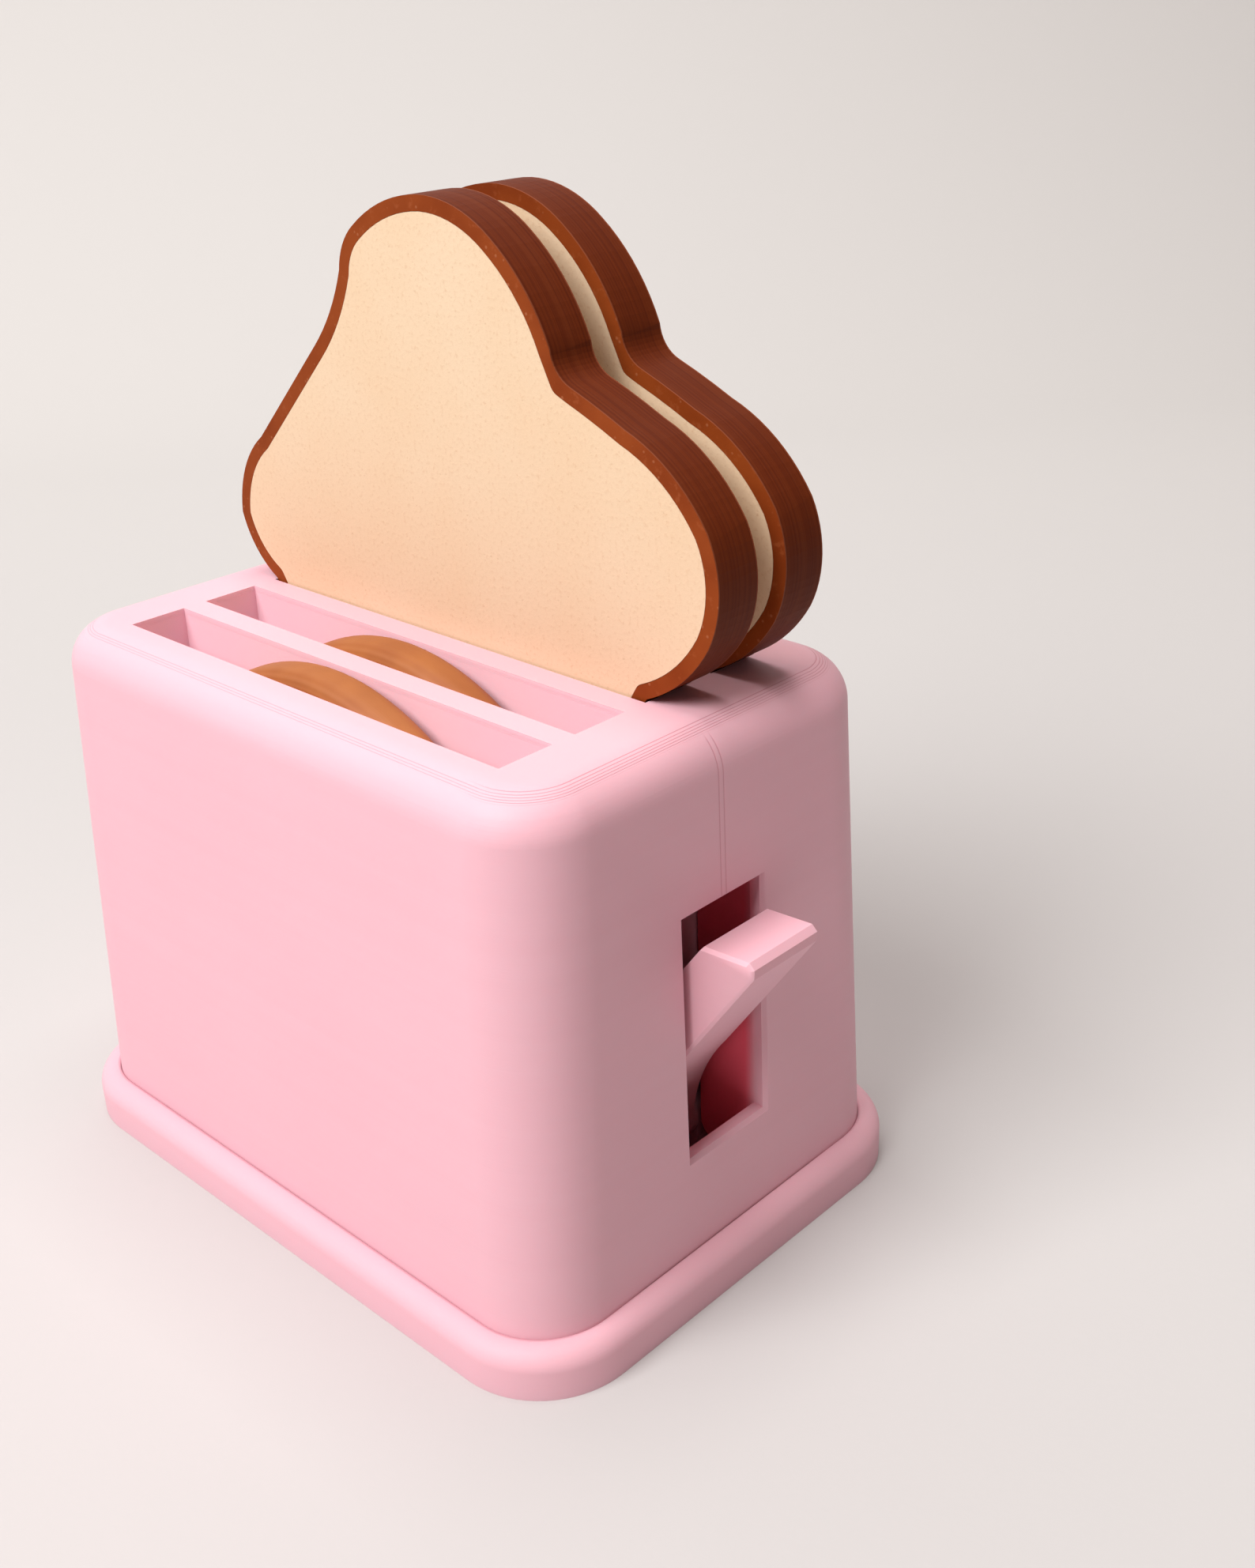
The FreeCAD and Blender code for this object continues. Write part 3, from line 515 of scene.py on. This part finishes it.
@dataclass(frozen=True)
class GoldenCake:
    """Caramel coloured round cake with layer lines round its edge and faint rings on its faces."""

    name: str
    centre: float
    body: Colour = (0.37, 0.118, 0.025)
    deep: Colour = (0.3, 0.085, 0.017)
    line: Tint = Tint((0.33, 0.09, 0.025), 0.3)
    ring: Tint = Tint((0.55, 0.24, 0.1), 0.12)
    ring_width: float = 0.42 * MM
    relief: float = 0.05 * MM
    rough: Span = (0.45, 0.2)

    def build(self) -> bpy.types.Material:
        """Make the material."""
        wires = Wiring(self.name)
        fine = wires.noise(Axis.Y.grain(3000, 12), 2.0, 0.6)
        cloud = wires.noise((70, 70, 70), 3.0, 0.6)
        sand = wires.noise((900, 900, 900), 2.0, 0.6)
        up = wires.minus(wires.z, self.centre)
        far = wires.math("SQRT", wires.plus(wires.times(wires.x, wires.x), wires.times(up, up)))
        rings = wires.ramp(wires.math("PINGPONG", far, self.ring_width), 0.0, self.ring_width)
        colour = wires.blend(wires.ramp(cloud, 0.3, 0.7), self.body, self.deep)
        colour = wires.tinted(colour, wires.ramp(fine, 0.5, 0.7), self.line)
        colour = wires.tinted(colour, rings, self.ring)
        height = wires.plus(wires.times(fine, 0.5), wires.times(rings, 0.25))
        wires.bump(wires.plus(height, wires.times(sand, 0.3)), self.relief, strength=0.8)
        return wires.finish(colour, wires.swing(cloud, self.rough), specular=0.4)


@dataclass(frozen=True)
class BrightSteel:
    """Turned or drawn steel of the pin, the posts and the screws."""

    name: str = "bright_steel"
    body: Colour = (0.58, 0.58, 0.6)
    dull: Colour = (0.42, 0.42, 0.44)
    relief: float = 0.015 * MM
    rough: Span = (0.26, 0.15)

    def build(self) -> bpy.types.Material:
        """Make the material."""
        wires = Wiring(self.name)
        turned = wires.noise(Axis.Z.grain(5200, 300), 2.0, 0.6)
        cloud = wires.noise((160, 160, 160), 2.0, 0.5)
        colour = wires.blend(wires.ramp(cloud, 0.35, 0.7), self.body, self.dull)
        wires.bump(turned, self.relief, strength=0.5)
        return wires.finish(colour, wires.swing(turned, self.rough), specular=0.5, metallic=1.0)


@dataclass(frozen=True)
class PaleGround:
    """The seamless pale ground and wall behind the toy, painted lighter on the far part to stand in for
    the light falling there.
    """

    name: str = "pale_ground"
    near: Colour = (0.53, 0.518, 0.518)
    # Painted light: the far ground and the wall are lighter to stand in for the stronger light on them.
    far: Colour = (0.61, 0.598, 0.59)
    slant: float = 0.8
    far_painted_light: Span = (0.1, 0.7)
    relief: float = 0.05 * MM

    def build(self) -> bpy.types.Material:
        """Make the material."""
        wires = Wiring(self.name)
        paper = wires.noise((700, 700, 700), 2.0, 0.6)
        # Painted light: 0 near the camera, rising to 1 on the far ground and the wall.
        far_painted_light = wires.ramp(wires.minus(wires.y, wires.times(wires.x, self.slant)), *self.far_painted_light)
        wires.bump(paper, self.relief, strength=0.3)
        return wires.finish(wires.blend(far_painted_light, self.near, self.far), rough=0.75, specular=0.2)


def dress(node: bpy.types.Object, material: bpy.types.Material) -> None:
    """Give every material slot of an object one material."""
    if not node.material_slots:
        node.data.materials.append(material)
    for place in node.material_slots:
        place.material = material


def smoothed(mesh: bpy.types.Mesh, crease: float) -> None:
    """Shade a mesh smooth, but for edges that turn by more than a crease in degrees."""
    mesh.polygons.foreach_set("use_smooth", [True] * len(mesh.polygons))
    mesh.set_sharp_from_angle(angle=math.radians(crease))


def placed(name: str, mesh: bpy.types.Mesh) -> bpy.types.Object:
    """Put a mesh into the scene as an object at the origin."""
    piece = bpy.data.objects.new(name, mesh)
    bpy.context.scene.collection.objects.link(piece)
    return piece


def refined(node: bpy.types.Object, name: str, material: bpy.types.Material) -> None:
    """Stand a merged, smooth-shaded copy of a printed piece in for its loose triangles.

    Args:
        node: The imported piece.
        name: The copy's name.
        material: The finish.
    """
    mesh = node.data.copy()
    work = bmesh.new()
    work.from_mesh(mesh)
    bmesh.ops.remove_doubles(work, verts=work.verts, dist=MERGE)
    bmesh.ops.dissolve_degenerate(work, edges=work.edges, dist=MERGE / 10)
    work.to_mesh(mesh)
    work.free()
    smoothed(mesh, PRINT_CREASE)
    piece = placed(name, mesh)
    dress(piece, material)
    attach(piece, node["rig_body"])
    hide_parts(node.name)


@dataclass
class Shell:
    """The pink print: housing, base, slot rack, lever and the tray's pieces."""

    # The housing's finish also paints shade inside it and light on its slot walls.
    seamed_and_painted: PinkPrint = PinkPrint(name="pink_print_shell_painted_light", seam_and_painted_light=HousingSeamAndPaintedLight())
    plain: PinkPrint = PinkPrint()
    smooth: tuple[str, ...] = ("housing", "base", "lever")
    hidden: tuple[str, ...] = ("slot_rack", "pivot_bracket", "lift_tray", "toast_risers")

    def build(self, nodes: dict[str, bpy.types.Object]) -> None:
        """Dress every pink piece.

        Args:
            nodes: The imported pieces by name.
        """
        shell, plain = self.seamed_and_painted.build(), self.plain.build()
        for name in self.smooth:
            finish = shell if name == "housing" else plain
            refined(nodes[name], name + "_print", finish)
            LOG.info("printed %s", name)
        for name in self.hidden:
            dress(nodes[name], plain)
            LOG.info("dressed %s", name)


@dataclass
class ToastSlice:
    """One toast slice: its crust band and the crumb inside it."""

    number: int
    middle: float

    def build(self, nodes: dict[str, bpy.types.Object], crumb: bpy.types.Material) -> None:
        """Dress the crust and the crumb.

        Args:
            nodes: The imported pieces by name.
            crumb: The crumb's finish.
        """
        crust = BakedCrust("crust_%d" % self.number, self.middle).build()
        prefix = "toast_%d_" % self.number
        refined(nodes[prefix + "crust"], prefix + "crust_print", crust)
        refined(nodes[prefix + "crumb"], prefix + "crumb_print", crumb)
        LOG.info("toast slice %d", self.number)


@dataclass
class RoundCake:
    """One of the round cakes in the two front slots."""

    number: int
    node: str

    def build(self, nodes: dict[str, bpy.types.Object]) -> None:
        """Dress the cake.

        Args:
            nodes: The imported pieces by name.
        """
        low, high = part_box(self.node)
        finish = GoldenCake("cake_%d" % self.number, (low.z + high.z) / 2).build()
        refined(nodes[self.node], self.node + "_print", finish)
        LOG.info("round cake %d", self.number)


@dataclass
class BaseScrews:
    """The four screws under the base, with cross recesses and their threads as rings."""

    low: float = 0.4 * MM
    neck: float = 1.9 * MM
    top: float = 13.0 * MM
    head: float = 2.8 * MM
    head_flat: float = 0.72
    head_round: float = 0.6
    head_steps: int = 5
    shank: float = 1.4 * MM
    point: float = 0.6
    thread: float = 0.06 * MM
    thread_start: float = 0.3 * MM
    thread_gaps: float = 0.8 * MM
    turns: int = 14
    facets: int = 20
    slit: tuple[float, float, float] = (3.36 * MM, 0.78 * MM, 1.8 * MM)

    def outline(self) -> list[Span]:
        """Give one screw's half outline from the foot up, as radius and height."""
        line: list[Span] = [(0.0, self.low), (self.head * self.head_flat, self.low)]
        for step in range(1, self.head_steps + 1):
            angle = math.radians(90 * step / self.head_steps)
            line.append((self.head * (self.head_flat + (1 - self.head_flat) * math.sin(angle)),
                         self.low + (self.neck - self.low) * self.head_round * (1 - math.cos(angle))))
        line += [(self.head, self.neck), (self.shank, self.neck)]
        pitch = (self.top - self.neck - self.thread_gaps) / self.turns
        for turn in range(self.turns):
            foot = self.neck + self.thread_start + turn * pitch
            line += [(self.shank, foot), (self.shank + self.thread, foot + pitch / 2),
                     (self.shank, foot + pitch)]
        return line + [(self.shank * self.point, self.top), (0.0, self.top)]

    def master(self) -> bpy.types.Object:
        """Turn one screw about its own axis: a domed head, a neck and a ridged shank."""
        work = bmesh.new()
        points = [work.verts.new((radius, 0.0, height)) for radius, height in self.outline()]
        edges = [work.edges.new(pair) for pair in zip(points, points[1:])]
        bmesh.ops.spin(work, geom=points + edges, cent=(0, 0, 0), axis=(0, 0, 1), angle=math.tau,
                       steps=self.facets, use_merge=True, use_duplicate=False)
        bmesh.ops.remove_doubles(work, verts=work.verts, dist=MERGE)
        bmesh.ops.recalc_face_normals(work, faces=work.faces)
        mesh = bpy.data.meshes.new("base_screw_master")
        work.to_mesh(mesh)
        work.free()
        return bpy.data.objects.new("base_screw_master", mesh)

    def tree(self, master: bpy.types.Object, steel: bpy.types.Material) -> bpy.types.NodeTree:
        """Make the tree that cuts the cross recess and sets the screws out on a rectangle.

        Args:
            master: One screw.
            steel: Its finish.

        Returns:
            The node tree, with inputs for the rectangle's two sides.
        """
        tree = bpy.data.node_groups.new("screws_at_corners", "GeometryNodeTree")
        link = tree.links.new
        face = tree.interface
        face.new_socket("Length", in_out="INPUT", socket_type="NodeSocketFloat")
        face.new_socket("Width", in_out="INPUT", socket_type="NodeSocketFloat")
        face.new_socket("Geometry", in_out="OUTPUT", socket_type="NodeSocketGeometry")
        inputs, output = tree.nodes.new("NodeGroupInput"), tree.nodes.new("NodeGroupOutput")
        grid = tree.nodes.new("GeometryNodeMeshGrid")
        grid.inputs["Vertices X"].default_value = 2
        grid.inputs["Vertices Y"].default_value = 2
        info = tree.nodes.new("GeometryNodeObjectInfo")
        info.inputs["Object"].default_value = master
        cut = tree.nodes.new("GeometryNodeMeshBoolean")
        cut.operation = "DIFFERENCE"
        cut.solver = "MANIFOLD"
        long_side, short_side, deep = self.slit
        for size in ((long_side, short_side, deep), (short_side, long_side, deep)):
            bar = tree.nodes.new("GeometryNodeMeshCube")
            bar.inputs["Size"].default_value = size
            drop = tree.nodes.new("GeometryNodeTransform")
            drop.inputs["Translation"].default_value = (0.0, 0.0, self.low)
            link(bar.outputs["Mesh"], drop.inputs["Geometry"])
            link(drop.outputs["Geometry"], cut.inputs["Mesh 2"])
        instances = tree.nodes.new("GeometryNodeInstanceOnPoints")
        realize = tree.nodes.new("GeometryNodeRealizeInstances")
        paint = tree.nodes.new("GeometryNodeSetMaterial")
        paint.inputs["Material"].default_value = steel
        link(inputs.outputs["Length"], grid.inputs["Size X"])
        link(inputs.outputs["Width"], grid.inputs["Size Y"])
        link(grid.outputs["Mesh"], instances.inputs["Points"])
        link(info.outputs["Geometry"], cut.inputs["Mesh 1"])
        link(cut.outputs["Mesh"], instances.inputs["Instance"])
        link(instances.outputs["Instances"], realize.inputs["Geometry"])
        link(realize.outputs["Geometry"], paint.inputs["Geometry"])
        link(paint.outputs["Geometry"], output.inputs["Geometry"])
        return tree

    def build(self, steel: bpy.types.Material) -> None:
        """Set the screws out and make them one plain mesh.

        Args:
            steel: Their finish.
        """
        master = self.master()
        carrier = placed("base_screws_laid_out", bpy.data.meshes.new("base_screws_seed"))
        modifier = carrier.modifiers.new("screws", "NODES")
        modifier.node_group = self.tree(master, steel)
        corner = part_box("base_screws")[1]
        sides = {"Length": 2 * (corner.x - self.head), "Width": 2 * (corner.y - self.head)}
        for item in modifier.node_group.interface.items_tree:
            if item.item_type == "SOCKET" and item.in_out == "INPUT":
                modifier[item.identifier] = sides[item.name]
        bpy.context.view_layer.update()
        seen = carrier.evaluated_get(bpy.context.evaluated_depsgraph_get())
        mesh = bpy.data.meshes.new_from_object(seen)
        bpy.data.objects.remove(carrier)
        bpy.data.objects.remove(master)
        smoothed(mesh, SCREW_CREASE)
        piece = placed("base_screws_cut", mesh)
        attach(piece, "toaster_body")
        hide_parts("base_screws")
        LOG.info("base screws")


@dataclass
class Hardware:
    """The plain steel pieces inside the toy, and the screws under it."""

    names: tuple[str, ...] = ("bracket_screws", "rack_screws", "pivot_pin", "pin_clip", "guide_posts")

    def build(self, nodes: dict[str, bpy.types.Object]) -> None:
        """Dress the steel pieces.

        Args:
            nodes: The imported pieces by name.
        """
        steel = BrightSteel().build()
        for name in self.names:
            dress(nodes[name], steel)
            LOG.info("dressed %s", name)
        BaseScrews().build(steel)


@dataclass(frozen=True)
class Lamp:
    """One square lamp that looks at the toy."""

    name: str
    place: tuple[float, float, float]
    size: float
    power: float
    colour: Colour
    aim: tuple[float, float, float] = (0.0, 0.0, 0.07)

    def hang(self) -> None:
        """Put the lamp into the scene."""
        data = bpy.data.lights.new(self.name, "AREA")
        data.size, data.energy, data.color = self.size, self.power, self.colour
        lamp = bpy.data.objects.new(self.name, data)
        lamp.location = self.place
        lamp.rotation_euler = (Vector(self.aim) - Vector(self.place)).to_track_quat("-Z", "Y").to_euler()
        bpy.context.scene.collection.objects.link(lamp)


@dataclass
class Studio:
    """The ground, the lamps and the camera."""

    eye: tuple[float, float, float] = (0.19601, -0.16218, 0.18395)
    turn: tuple[float, float, float] = (1.917, 0.737, -0.508)
    focal: float = 2220.16
    picture_width: float = 1588.0
    sensor: float = 36.0
    sight: Span = (0.01, 20.0)
    lamps: tuple[Lamp, ...] = (
        Lamp("key", place=(-0.08, -0.97, 1.2), size=0.95, power=27.5, colour=(1.0, 0.985, 0.965)),
        Lamp("top", place=(0.0, 0.1, 1.3), size=0.7, power=8.8, colour=(1.0, 0.97, 0.94)))
    fill: float = 0.185
    fill_colour: Colour = (1.0, 0.76, 0.68)
    backdrop: Colour = (0.8, 0.74, 0.71)
    ground_front: float = -2.5
    ground_bend: float = 0.45
    bend_radius: float = 0.35
    bend_steps: int = 24
    wall_top: float = 2.4
    half_width: float = 3.0

    def ground(self) -> None:
        """Lay a seamless ground that curves up into the wall behind the toy."""
        away = Vector((-self.eye[0], -self.eye[1], 0.0)).normalized()
        side = Vector((-away.y, away.x, 0.0))
        line: list[Span] = [(self.ground_front, 0.0), (self.ground_bend, 0.0)]
        for step in range(1, self.bend_steps + 1):
            angle = math.radians(90 * step / self.bend_steps)
            line.append((self.ground_bend + self.bend_radius * math.sin(angle),
                         self.bend_radius * (1 - math.cos(angle))))
        line.append((self.ground_bend + self.bend_radius, self.wall_top))
        work = bmesh.new()
        rows = []
        for along, up in line:
            rows.append([work.verts.new(away * along + side * across + Vector((0, 0, up)))
                         for across in (-self.half_width, self.half_width)])
        for low, high in zip(rows, rows[1:]):
            work.faces.new((low[0], low[1], high[1], high[0]))
        bmesh.ops.recalc_face_normals(work, faces=work.faces)
        mesh = bpy.data.meshes.new("ground")
        work.to_mesh(mesh)
        work.free()
        mesh.polygons.foreach_set("use_smooth", [True] * len(mesh.polygons))
        ground = placed("ground", mesh)
        dress(ground, PaleGround().build())

    def sky(self) -> None:
        """Fill the room with even pale light, and show the camera a pale backdrop."""
        world = bpy.data.worlds.new("room")
        bpy.context.scene.world = world
        world.use_nodes = True
        tree = world.node_tree
        light = tree.nodes["Background"]
        light.inputs["Color"].default_value = (*self.fill_colour, 1.0)
        light.inputs["Strength"].default_value = self.fill
        seen = tree.nodes.new("ShaderNodeBackground")
        seen.inputs["Color"].default_value = (*self.backdrop, 1.0)
        path = tree.nodes.new("ShaderNodeLightPath")
        choice = tree.nodes.new("ShaderNodeMixShader")
        tree.links.new(path.outputs["Is Camera Ray"], choice.inputs[0])
        tree.links.new(light.outputs[0], choice.inputs[1])
        tree.links.new(seen.outputs[0], choice.inputs[2])
        tree.links.new(choice.outputs[0], tree.nodes["World Output"].inputs["Surface"])

    def camera(self) -> None:
        """Stand the camera where the portrait was taken."""
        data = bpy.data.cameras.new("portrait")
        data.sensor_fit = "HORIZONTAL"
        data.sensor_width = self.sensor
        data.lens = self.focal / self.picture_width * self.sensor
        data.clip_start, data.clip_end = self.sight
        camera = bpy.data.objects.new("portrait", data)
        turn = Vector(self.turn)
        seen = Matrix.Rotation(turn.length, 3, turn.normalized())
        facing = seen.transposed() @ Matrix(((1, 0, 0), (0, -1, 0), (0, 0, -1)))
        camera.matrix_world = Matrix.Translation(Vector(self.eye)) @ facing.to_4x4()
        bpy.context.scene.collection.objects.link(camera)
        bpy.context.scene.camera = camera

    def build(self) -> None:
        """Set up the whole studio."""
        bpy.context.scene.view_settings.view_transform = "Standard"
        self.ground()
        for lamp in self.lamps:
            lamp.hang()
        self.sky()
        self.camera()
        LOG.info("studio")


def main() -> None:
    """Dress the toy, light it and stand the camera."""
    logging.basicConfig(level=logging.INFO, format="%(name)s: %(message)s")
    for item in list(bpy.data.objects):
        bpy.data.objects.remove(item)
    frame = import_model()
    nodes = frame["nodes"]
    Studio().build()
    Shell().build(nodes)
    crumb = CreamCrumb().build()
    for number in (1, 2):
        low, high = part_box("toast_%d_crust" % number)
        ToastSlice(number, (low.y + high.y) / 2).build(nodes, crumb)
        RoundCake(number, "waffle_%d" % number).build(nodes)
    Hardware().build(nodes)


if __name__ == "__main__":
    main()
